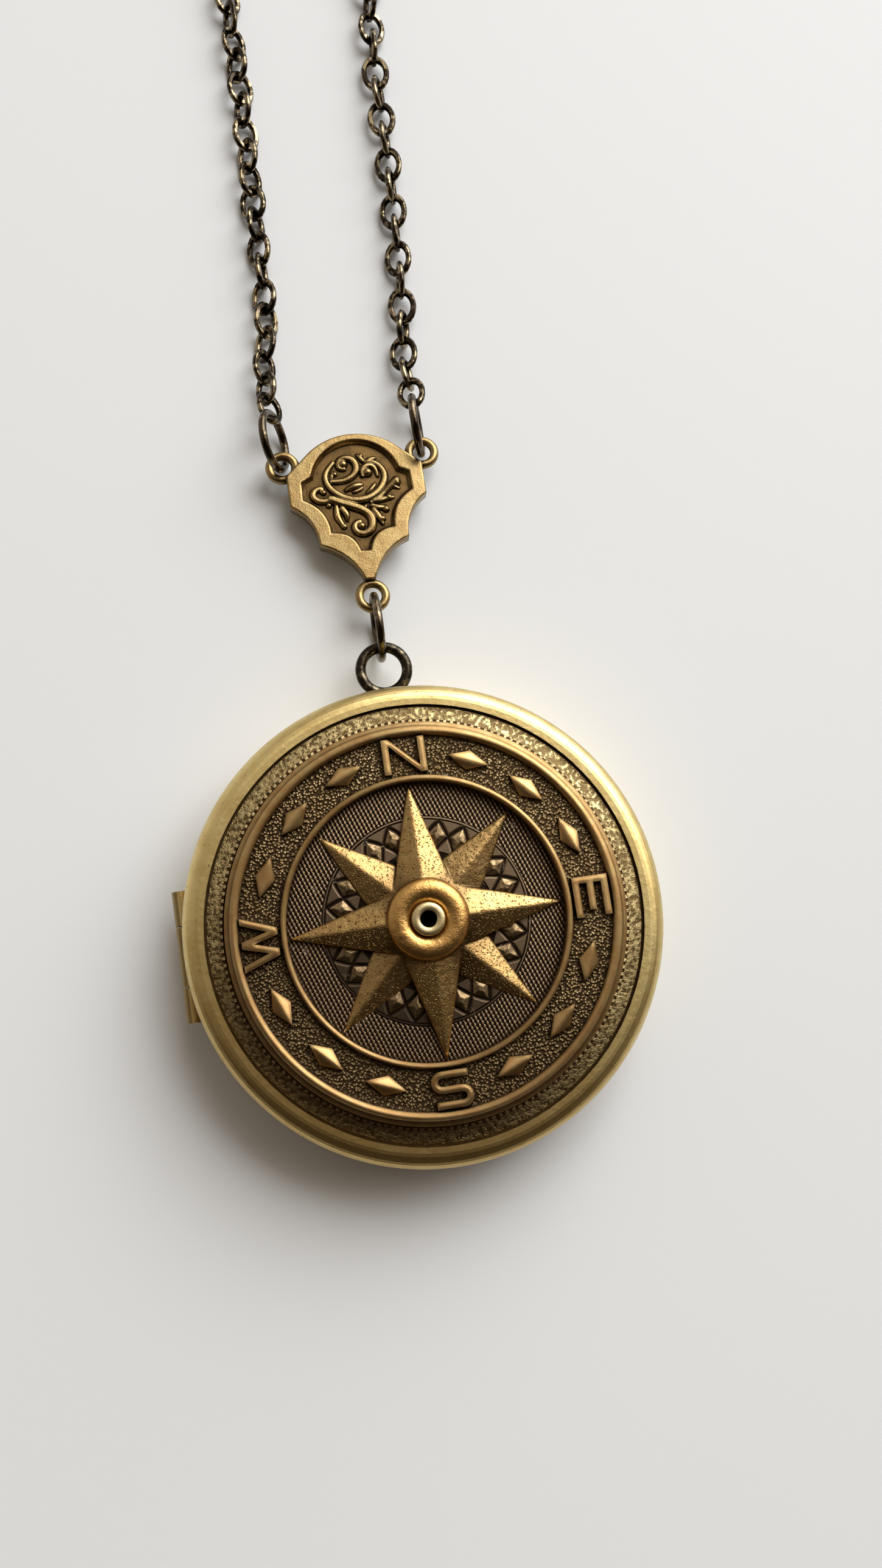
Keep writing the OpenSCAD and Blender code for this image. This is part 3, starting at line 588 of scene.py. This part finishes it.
def add_star(mesh, waist_r, tip_h, waist_h, ridge_h, turn):
    part = bmesh.new()
    bmesh.ops.create_circle(part, cap_ends=True, segments=8, radius=1)
    floor_face = part.faces[:][0]
    for index, vert in enumerate(part.verts):
        is_tip = index % 2 == 0
        angle = math.atan2(vert.co.y, vert.co.x)
        radius = STAR_R if is_tip else waist_r
        vert.co = (radius * math.cos(angle), radius * math.sin(angle), 0)
    walls = bmesh.ops.extrude_face_region(part, geom=[floor_face])
    top_verts = [item for item in walls["geom"] if isinstance(item, bmesh.types.BMVert)]
    for vert in top_verts:
        vert.co.z = tip_h if vert.co.length > (STAR_R + waist_r) / 2 else waist_h
    top_face = next(face for face in part.faces if all(vert in top_verts for vert in face.verts))
    peak = bmesh.ops.poke(part, faces=[top_face])["verts"][0]
    peak.co = (0, 0, ridge_h)
    cut = bmesh.ops.bevel(
        part, geom=[peak], affect="VERTICES", offset=PEAK_CUT_R, segments=1, profile=0.5, material=-1
    )
    bmesh.ops.delete(part, geom=cut["faces"], context="FACES_ONLY")
    bmesh.ops.recalc_face_normals(part, faces=part.faces)
    top_edges = [
        edge for edge in part.edges
        if all(vert.co.z > 0 for vert in edge.verts)
        and any(vert.co.xy.length > HUB_R for vert in edge.verts)
    ]
    bmesh.ops.bevel(
        part, geom=top_edges, affect="EDGES", offset=STAR_EDGE, segments=3, profile=0.5, material=-1
    )
    turning = Matrix.Rotation(math.radians(turn), 3, "Z")
    bmesh.ops.rotate(part, cent=(0, 0, 0), matrix=turning, verts=part.verts)
    bmesh.ops.translate(part, vec=(0, 0, STAR_Z), verts=part.verts)
    add_part(mesh, part)


def add_turned(mesh, profile, steps):
    """Adds a profile of [radius, height] points, spun round the locket's axis."""
    part = bmesh.new()
    verts = [part.verts.new((radius, 0, height)) for radius, height in profile]
    edges = [part.edges.new(pair) for pair in zip(verts, verts[1:])]
    bmesh.ops.spin(
        part, geom=verts + edges, cent=(0, 0, 0), axis=(0, 0, 1),
        angle=2 * math.pi, steps=steps, use_merge=True,
    )
    bmesh.ops.recalc_face_normals(part, faces=part.faces)
    add_part(mesh, part)


star_mesh = bmesh.new()
add_star(star_mesh, **LOW_STAR)
add_star(star_mesh, **MAIN_STAR)
crown_mid = (HUB_R + HUB_IN) / 2
crown_half = (HUB_R - HUB_IN) / 2
crown = [
    (crown_mid + crown_half * math.cos(angle), STAR_Z + HUB_H - HUB_DISH + HUB_DISH * math.sin(angle))
    for angle in (math.pi * step / CROWN_STEPS for step in range(CROWN_STEPS + 1))
]
dish_z = crown[-1][1]
hub_inside = [(HUB_IN - 0.02, dish_z), (HUB_BORE, dish_z), (HUB_BORE, STAR_Z), (HUB_R, STAR_Z)]
add_turned(star_mesh, [(HUB_R, STAR_Z)] + crown + hub_inside, HUB_STEPS)
finish_piece("cast_star", star_mesh, star_surface(), "lid", ["compass_star"])


# The rivet: a short brass tube through the star's hub, its rim rolled over in the hub's dish to
# hold the star on the dial. Its rim is brass, and its inside is painted almost black as shade.
def rivet_surface():
    surface = Surface("rivet_brass")
    out = surface.from_middle()
    fine = surface.noise(12.0, 3.0, 0.6)
    # Painted shade: the inside of the tube is near black.
    colour = surface.mix(out.rise(0.50, 0.60), tone(0.03, 0.028, 0.025), tone(0.62, 0.50, 0.27))
    surface.set(
        Base_Color=colour,
        Metallic=1.0,
        Roughness=0.28 + 0.16 * fine,
        Normal=surface.raised(0.01 * fine),
    )
    return surface.material


cover_node("star_rivet", rivet_surface())


# The connector: a cast brass shield, antiqued gold, with a smooth raised border, three loops and
# leafy scrolls on a sunk dark field. It slopes a little, down towards its round top. The border's
# inner wall leans, and the scrolls are rounded strands and buds.
HANGER_X = -0.18
PLATE = {"half_w": 4.9, "t": 1.1, "tilt": 4.0, "edge": 0.12, "field_depth": 0.40, "wall_lean": 0.20}
PLATE_PLACE = Vector((HANGER_X, 30.125, 1.572))
LOOP_R = 0.93
LOOP_WIRE = 0.62
SIDE_LOOP = Vector((5.05, 3.55))
LOW_LOOP = Vector((0, -6.88))
STRAND_RISE = 1.1
STRAND_SINK = 0.05
SCALLOP_SAG = -0.1
TIP_HALF_W = 0.07
SCALLOP_STEPS = 8
TOP_STEPS = 32
STRAND_FULLNESS = 0.78
FLOOR_INSET = 0.3
FLOOR_EDGE = 0.02
FIELD_AREA = {"half_w": 3.95, "low_y": 26.2, "high_y": 34.9}
PLATE_CORNERS = [(1.0, 0.545), (1.0, 0.06), (0.65, -0.585)]
FIELD_CORNERS = [(0.79, 0.42), (0.80, 0.14), (0.46, -0.41)]
# Scroll strands and leaves: points in shares of half the plate's width, and the strand's width in
# mm at its start, middle and end.
SCROLLS = [
    ([(-0.12, 0.59), (-0.20, 0.58), (-0.23, 0.65), (-0.19, 0.74), (-0.10, 0.76), (0.00, 0.72),
      (0.05, 0.61), (0.01, 0.49), (-0.10, 0.42), (-0.23, 0.39), (-0.37, 0.41)], (0.25, 0.38, 0.29)),
    ([(0.15, 0.66), (0.25, 0.67), (0.36, 0.61), (0.44, 0.48), (0.43, 0.35), (0.34, 0.20), (0.18, 0.09),
      (-0.01, 0.07), (-0.18, 0.12), (-0.33, 0.23), (-0.42, 0.36), (-0.44, 0.49), (-0.39, 0.60),
      (-0.28, 0.71)], (0.23, 0.42, 0.23)),
    ([(0.12, 0.43), (0.11, 0.53), (0.17, 0.60), (0.27, 0.60), (0.33, 0.51), (0.33, 0.40)
     ], (0.29, 0.35, 0.15)),
    ([(-0.54, 0.25), (-0.48, 0.31), (-0.56, 0.32), (-0.64, 0.27), (-0.65, 0.19), (-0.59, 0.13),
      (-0.48, 0.10), (-0.40, 0.13)], (0.21, 0.35, 0.33)),
    ([(-0.42, 0.15), (-0.28, 0.07), (-0.13, 0.01), (0.02, -0.06), (0.13, -0.15), (0.17, -0.27),
      (0.13, -0.40), (0.02, -0.46), (-0.09, -0.42), (-0.12, -0.33), (-0.07, -0.26), (-0.00, -0.26)
     ], (0.46, 0.42, 0.27)),
    ([(-0.33, 0.05), (-0.34, -0.07), (-0.33, -0.19), (-0.25, -0.34)], (0.23, 0.42, 0.21)),
    ([(-0.28, -0.01), (-0.22, -0.07), (-0.19, -0.17), (-0.21, -0.24)], (0.33, 0.40, 0.13)),
    ([(0.17, 0.02), (0.30, 0.07), (0.40, 0.16), (0.50, 0.25), (0.62, 0.34)], (0.27, 0.25, 0.42)),
    ([(0.51, 0.25), (0.58, 0.22), (0.63, 0.19)], (0.27, 0.21, 0.12)),
    ([(0.20, 0.04), (0.32, 0.04), (0.43, 0.06), (0.53, 0.07)], (0.25, 0.33, 0.17)),
    ([(0.16, -0.02), (0.25, -0.06), (0.32, -0.08), (0.41, -0.07)], (0.25, 0.33, 0.19)),
    ([(0.18, -0.07), (0.24, -0.16), (0.28, -0.26), (0.31, -0.35)], (0.25, 0.42, 0.17)),
    ([(-0.18, 0.24), (-0.07, 0.29), (0.04, 0.31), (0.11, 0.32)], (0.17, 0.42, 0.13)),
    ([(-0.07, 0.21), (0.03, 0.22), (0.10, 0.28)], (0.19, 0.25, 0.12)),
    ([(0.13, 0.16), (0.22, 0.22), (0.29, 0.32)], (0.15, 0.35, 0.13)),
    ([(0.06, 0.80), (0.11, 0.75), (0.16, 0.66)], (0.12, 0.33, 0.21)),
    ([(0.19, 0.67), (0.27, 0.71), (0.35, 0.71)], (0.19, 0.29, 0.12)),
    ([(-0.38, 0.42), (-0.32, 0.49), (-0.32, 0.57)], (0.13, 0.33, 0.13)),
]
# Buds: [share x, share y, radius in mm].
BUDS = [
    (-0.15, 0.66, 0.33), (0.19, 0.49, 0.35), (-0.49, 0.25, 0.21), (-0.01, -0.33, 0.29),
    (-0.29, 0.52, 0.19), (-0.44, 0.04, 0.21), (0.45, 0.07, 0.23), (0.38, -0.11, 0.25), (0.31, -0.25, 0.23),
    (0.09, -0.03, 0.15), (-0.26, -0.31, 0.21), (0.13, 0.77, 0.15), (0.60, 0.28, 0.23),
]


def arc_points(centre, radius, start, end, steps):
    for step in range(steps + 1):
        angle = math.radians(start + (end - start) * step / steps)
        yield Vector((centre[0] + radius * math.cos(angle), centre[1] + radius * math.sin(angle)))


def bow_points(start, end, sag, steps):
    across = Vector((start.y - end.y, end.x - start.x)).normalized()
    for step in range(1, steps + 1):
        share = step / steps
        yield start.lerp(end, share) + across * 4 * sag * share * (1 - share)


def shield_outline(top_y, top_r, top_from, corners, tip_y, inset):
    """The shield's outline: round top, corners down each side, scallops to the tip."""
    half = PLATE["half_w"]
    right = [Vector(corner) * half for corner in corners]
    side = right[:-1]
    side += bow_points(right[-2], right[-1], SCALLOP_SAG * half, SCALLOP_STEPS)
    side += bow_points(right[-1], Vector((TIP_HALF_W, tip_y)) * half, SCALLOP_SAG * half, SCALLOP_STEPS)
    points = list(arc_points((0, top_y * half), top_r * half, 180 - top_from, top_from, TOP_STEPS))
    points += side + [Vector((-point.x, point.y)) for point in reversed(side)]
    return inset_outline(points, inset)


def inset_outline(points, inset):
    """Moves every side of a clockwise outline inwards."""
    moved = []
    for before, point, after in zip(points[-1:] + points[:-1], points, points[1:] + points[:1]):
        ahead = (after - point).normalized()
        behind = (point - before).normalized()
        into = Vector((ahead.y + behind.y, -ahead.x - behind.x)).normalized()
        sharpness = max(0.5, into.dot(Vector((ahead.y, -ahead.x))))
        moved.append(point + into * inset / sharpness)
    return moved


def add_plate(mesh, outlines, low, high, edge):
    """Adds a flat plate with softened edges, from a filled curve."""
    curve = bpy.data.curves.new("shape", "CURVE")
    curve.dimensions = "2D"
    curve.fill_mode = "BOTH"
    curve.extrude = (high - low) / 2 - edge
    curve.bevel_depth = edge
    curve.bevel_resolution = 2
    curve.offset = -edge
    for outline in outlines:
        spline = curve.splines.new("POLY")
        spline.points.add(len(outline) - 1)
        spline.use_cyclic_u = True
        for point, place in zip(spline.points, outline):
            point.co = (place.x, place.y, 0, 1)
    add_curve(mesh, curve, Matrix.Translation((0, 0, (low + high) / 2)))


def add_curve(mesh, curve, placing):
    holder = bpy.data.objects.new("shape", curve)
    bpy.context.scene.collection.objects.link(holder)
    bpy.context.view_layer.update()
    data = bpy.data.meshes.new_from_object(holder.evaluated_get(bpy.context.evaluated_depsgraph_get()))
    part = bmesh.new()
    part.from_mesh(data)
    bmesh.ops.remove_doubles(part, verts=part.verts, dist=1e-4)
    bmesh.ops.recalc_face_normals(part, faces=part.faces)
    bmesh.ops.transform(part, matrix=placing, verts=part.verts)
    add_part(mesh, part)
    bpy.data.objects.remove(holder)
    bpy.data.meshes.remove(data)
    bpy.data.curves.remove(curve)


def add_leaning_wall(mesh, top_outline, low_outline, top_z, low_z):
    """Adds the sloped wall from the border's top down to the field."""
    part = bmesh.new()
    loops = []
    for outline, height in ((top_outline, top_z), (low_outline, low_z)):
        verts = [part.verts.new((point.x, point.y, height)) for point in outline]
        loops += [part.edges.new(pair) for pair in zip(verts, verts[1:] + verts[:1])]
    bmesh.ops.bridge_loops(part, edges=loops)
    for face in part.faces:
        face.normal_update()
        if face.normal.z < 0:
            face.normal_flip()
    add_part(mesh, part)


def add_strand(mesh, shares, widths, base):
    """Adds one rounded scroll strand or leaf."""
    curve = bpy.data.curves.new("strand", "CURVE")
    curve.dimensions = "3D"
    curve.bevel_depth = 1
    curve.bevel_resolution = 3
    curve.use_fill_caps = True
    curve.resolution_u = 5
    spline = curve.splines.new("NURBS")
    spline.points.add(len(shares) - 1)
    spline.use_endpoint_u = True
    spline.order_u = 3
    start, middle, end = widths
    for index, (point, share) in enumerate(zip(spline.points, shares)):
        along = 2 * index / (len(shares) - 1)
        width = start + (middle - start) * along if along < 1 else middle + (end - middle) * (along - 1)
        point.co = (share[0] * PLATE["half_w"], share[1] * PLATE["half_w"], 0, 1)
        point.radius = STRAND_FULLNESS * width
    add_curve(mesh, curve, Matrix.Translation((0, 0, base)) @ Matrix.Diagonal((1, 1, STRAND_RISE, 1)))


def add_bud(mesh, share, radius, base):
    part = bmesh.new()
    bmesh.ops.create_uvsphere(part, u_segments=14, v_segments=10, radius=radius)
    place = (share[0] * PLATE["half_w"], share[1] * PLATE["half_w"], base)
    bmesh.ops.translate(part, vec=place, verts=part.verts)
    add_part(mesh, part)


def add_ring(mesh, mid_r, wire, placing, steps=40, sides=14):
    """Adds a round wire ring, flat on XY before it is placed."""
    part = bmesh.new()
    bmesh.ops.create_circle(part, segments=sides, radius=wire / 2)
    bmesh.ops.rotate(part, cent=(0, 0, 0), matrix=Matrix.Rotation(math.pi / 2, 3, "X"), verts=part.verts)
    bmesh.ops.translate(part, vec=(mid_r, 0, 0), verts=part.verts)
    bmesh.ops.spin(
        part, geom=part.verts[:] + part.edges[:], cent=(0, 0, 0), axis=(0, 0, 1),
        angle=2 * math.pi, steps=steps, use_merge=True,
    )
    bmesh.ops.recalc_face_normals(part, faces=part.faces)
    bmesh.ops.transform(part, matrix=placing, verts=part.verts)
    add_part(mesh, part)


def connector_surface():
    surface = Surface("antique_gold")
    tilt = math.radians(PLATE["tilt"])
    up_plate = (surface.z - PLATE_PLACE.z) * math.cos(tilt) + (surface.y - PLATE_PLACE.y) * math.sin(tilt)
    field_z = PLATE["t"] / 2 - PLATE["field_depth"]
    over_plate = 1 - (surface.x - HANGER_X).size().rise(FIELD_AREA["half_w"], FIELD_AREA["half_w"] + 0.15)
    over_plate = over_plate * surface.y.rise(FIELD_AREA["low_y"], FIELD_AREA["low_y"] + 0.2)
    over_plate = over_plate * (1 - surface.y.rise(FIELD_AREA["high_y"], FIELD_AREA["high_y"] + 0.2))
    on_field = up_plate.within(field_z - 0.05, field_z + 0.06, 0.02) * over_plate
    fine = surface.noise(10.0, 3.0, 0.6)
    patches = surface.noise(0.9, 4.0, 0.6).rise(0.35, 0.65)
    gold = surface.mix(patches, tone(0.32, 0.235, 0.104), tone(0.29, 0.195, 0.082))
    gold = surface.mix(surface.noise(6.0, 2.0, 0.5).rise(0.62, 0.70) * 0.5, gold, tone(0.20, 0.125, 0.050))
    field = surface.mix(patches, tone(0.080, 0.052, 0.020), tone(0.135, 0.080, 0.030))
    colour = surface.mix(on_field, gold, field)
    low = 1 - up_plate.rise(field_z + 0.10, field_z + 0.22) * over_plate
    # Painted shade, with the antique patina, darkens the creases, most of all down on the field.
    crease = (1 - surface.open(0.42).rise(0.55, 0.97)) * (0.25 + 0.75 * low)
    colour = surface.mix(crease, colour, tone(0.010, 0.006, 0.004))
    surface.set(
        Base_Color=colour,
        Metallic=1.0,
        Roughness=0.21 + 0.12 * fine + 0.10 * on_field,
        Normal=surface.raised(0.010 * fine + 0.015 * surface.noise(1.6, 2.0, 0.5), 0.12),
    )
    return surface.material


connector_mesh = bmesh.new()
half_t = PLATE["t"] / 2
field_z = half_t - PLATE["field_depth"]
shield = (0.11, 0.994, 45, PLATE_CORNERS, -1.18)
field_shape = (0.33, 0.665, 14, FIELD_CORNERS, -0.73)
rim_inside = shield_outline(*field_shape, 0)
add_plate(connector_mesh, [shield_outline(*shield, 0), rim_inside], -half_t, half_t, PLATE["edge"])
floor_outline = shield_outline(*shield, FLOOR_INSET)
add_plate(connector_mesh, [floor_outline], -half_t + FLOOR_EDGE, field_z, FLOOR_EDGE)
wall_foot = shield_outline(*field_shape, PLATE["wall_lean"])
add_leaning_wall(connector_mesh, rim_inside, wall_foot, half_t - PLATE["edge"], field_z - 0.01)
for shares, widths in SCROLLS:
    add_strand(connector_mesh, shares, widths, field_z - STRAND_SINK)
for bud_x, bud_y, bud_r in BUDS:
    add_bud(connector_mesh, (bud_x, bud_y), bud_r, field_z)
for loop in (LOW_LOOP, SIDE_LOOP, Vector((-SIDE_LOOP.x, SIDE_LOOP.y))):
    add_ring(connector_mesh, LOOP_R, LOOP_WIRE, Matrix.Translation((loop.x, loop.y, 0)))
bmesh.ops.transform(
    connector_mesh,
    matrix=Matrix.Translation(PLATE_PLACE) @ Matrix.Rotation(math.radians(-PLATE["tilt"]), 4, "X"),
    verts=connector_mesh.verts,
)
finish_piece(
    "cast_connector", connector_mesh, connector_surface(), "base", ["connector"]
)


# The chain: oval links of brass wire, browned almost black and worn brassy on their sides. It runs
# from the connector's rings round the neck to the clasp, each link turned across the one before.
LINK_L = 2.80
LINK_W = 2.15
LINK_WIRE = 0.45
LINK_PITCH = 1.88
LINK_STEPS = 20
LINK_SIDES = 7
RING_WIRE = 0.58
CHAIN_LIE = LINK_W / 2
LOWEST_LIE = 0.72
ROLL_SWING = 20.0
SETTLE = 4.0
LINK_SLACK = 0.03
DRIFT_KEPT = 0.8
FREE_AFTER = 4
# The two runs, in mm: [left run's x, right run's x, y].
CHAIN_ROWS = [
    (-4.9, 5.2, 46), (-4.7, 5.7, 56), (-4.5, 5.9, 66), (-5.0, 7.0, 76), (-8.0, 9.6, 86), (-13.3, 14.2, 95),
    (-19.9, 20.2, 103), (-27.0, 27.1, 111), (-33.8, 33.9, 119), (-39.8, 39.8, 128), (-44.2, 44.2, 138),
    (-46.3, 46.3, 149), (-45.8, 45.8, 160), (-42.6, 42.6, 170.5), (-36.9, 36.9, 180), (-28.9, 28.9, 187.5),
    (-19.4, 19.4, 192.3),
]


def chain_surface():
    surface = Surface("dark_chain")
    worn = surface.noise(1.5, 3.0, 0.6).rise(0.46, 0.60)
    fine = surface.noise(9.0, 3.0, 0.6)
    colour = surface.mix(worn, tone(0.032, 0.024, 0.016), tone(0.30, 0.240, 0.150))
    # Painted shade darkens the links where they lie against each other.
    colour = surface.mix(surface.open(0.4).rise(0.20, 0.85), tone(0.006, 0.004, 0.003), colour)
    surface.set(
        Base_Color=colour,
        Metallic=1.0,
        Roughness=0.10 + 0.12 * fine,
        Normal=surface.raised(0.008 * fine),
    )
    return surface.material


def smooth_route(points, steps=24):
    """A smooth curve through the points, the same as the solid chain's."""
    route = []
    last = len(points) - 1
    for index in range(last):
        before = points[max(index - 1, 0)]
        start = points[index]
        end = points[index + 1]
        after = points[min(index + 2, last)]
        for step in range(steps):
            share = step / steps
            route.append(0.5 * (
                2 * start
                + (end - before) * share
                + (2 * before - 5 * start + 4 * end - after) * share ** 2
                + (3 * start - before - 3 * end + after) * share ** 3
            ))
    route.append(points[-1])
    return route


def link_mesh():
    """One oval link, flat on XY and long along X."""
    link = bmesh.new()
    mid_r = (LINK_W - LINK_WIRE) / 2
    add_ring(link, mid_r, LINK_WIRE, Matrix(), LINK_STEPS, LINK_SIDES)
    bmesh.ops.scale(link, vec=((LINK_L - LINK_WIRE) / (LINK_W - LINK_WIRE), 1, 1), verts=link.verts)
    data = bpy.data.meshes.new("link")
    link.to_mesh(data)
    link.free()
    return data


def chain_piece(name, side, base_roll, first_hook, last_hook, seed):
    points = [first_hook, first_hook + Vector((0, SETTLE, CHAIN_LIE - first_hook.z))]
    points += [Vector((row[0] if side < 0 else row[1], row[2], CHAIN_LIE)) for row in CHAIN_ROWS]
    points.append(last_hook)
    route = smooth_route(points)
    travelled = [0.0]
    for start, end in zip(route, route[1:]):
        travelled.append(travelled[-1] + (end - start).length)
    hook_room = (LINK_L - LINK_WIRE) / 2 - (RING_WIRE + LINK_WIRE) / 2 - LINK_SLACK
    room = travelled[-1] - 2 * hook_room
    count = 2 * round(room / LINK_PITCH / 2)
    pitch = room / count
    wobble = random.Random(seed)
    link = link_mesh()
    mesh = bmesh.new()
    at = 0
    drift = 0.0
    for index in range(count + 1):
        along = hook_room + index * pitch
        while travelled[at + 1] < along:
            at += 1
        share = (along - travelled[at]) / (travelled[at + 1] - travelled[at])
        place = route[at].lerp(route[at + 1], share)
        forward = (route[at + 1] - route[at]).normalized()
        across = Vector((forward.y, -forward.x, 0)).normalized()
        above = across.cross(forward).normalized()
        drift = DRIFT_KEPT * drift + wobble.uniform(-ROLL_SWING, ROLL_SWING)
        ends_free = min(index, count - index, FREE_AFTER) / FREE_AFTER
        roll = math.radians(90 * (index % 2) + base_roll + drift * ends_free)
        lie = max(LOWEST_LIE, LINK_WIRE / 2 + (LINK_W - LINK_WIRE) / 2 * abs(math.sin(roll)))
        place = place + Vector((0, 0, (lie - CHAIN_LIE) * ends_free))
        wide = across * math.cos(roll) + above * math.sin(roll)
        thick = forward.cross(wide)
        turn = Matrix((forward, wide, thick)).transposed().to_4x4()
        start = len(mesh.verts)
        mesh.from_mesh(link)
        mesh.verts.ensure_lookup_table()
        bmesh.ops.transform(mesh, matrix=Matrix.Translation(place) @ turn, verts=mesh.verts[start:])
    bpy.data.meshes.remove(link)
    finish_piece(name + "_links", mesh, dark_chain, "base", [name])


def far_point(node, way):
    """Middle of a ring's wire where the ring reaches furthest along a way, in mm."""
    low, high = (Vector(corner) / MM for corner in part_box(node))
    middle = (low + high) / 2
    reach = Vector([(high[axis] - low[axis]) / 2 - RING_WIRE / 2 for axis in range(3)])
    return middle + Vector([way[axis] * reach[axis] for axis in range(3)])


dark_chain = chain_surface()
left_hook = far_point("left_end_ring", (0, 1, 0))
right_hook = far_point("right_end_ring", (0, 1, 0))
chain_piece("left_chain", -1, -40, left_hook, far_point("catch_ring", (-1, 0, 0)), 3)
chain_piece("right_chain", 1, 20, right_hook, far_point("clasp_ring", (1, 0, 0)), 8)


# The clasp: it is at the nape, out of the photo, so it is one plain piece of blackened brass,
# its nose round the catch ring and its eye on the clasp ring.
cover_node("clasp", dark_wire)
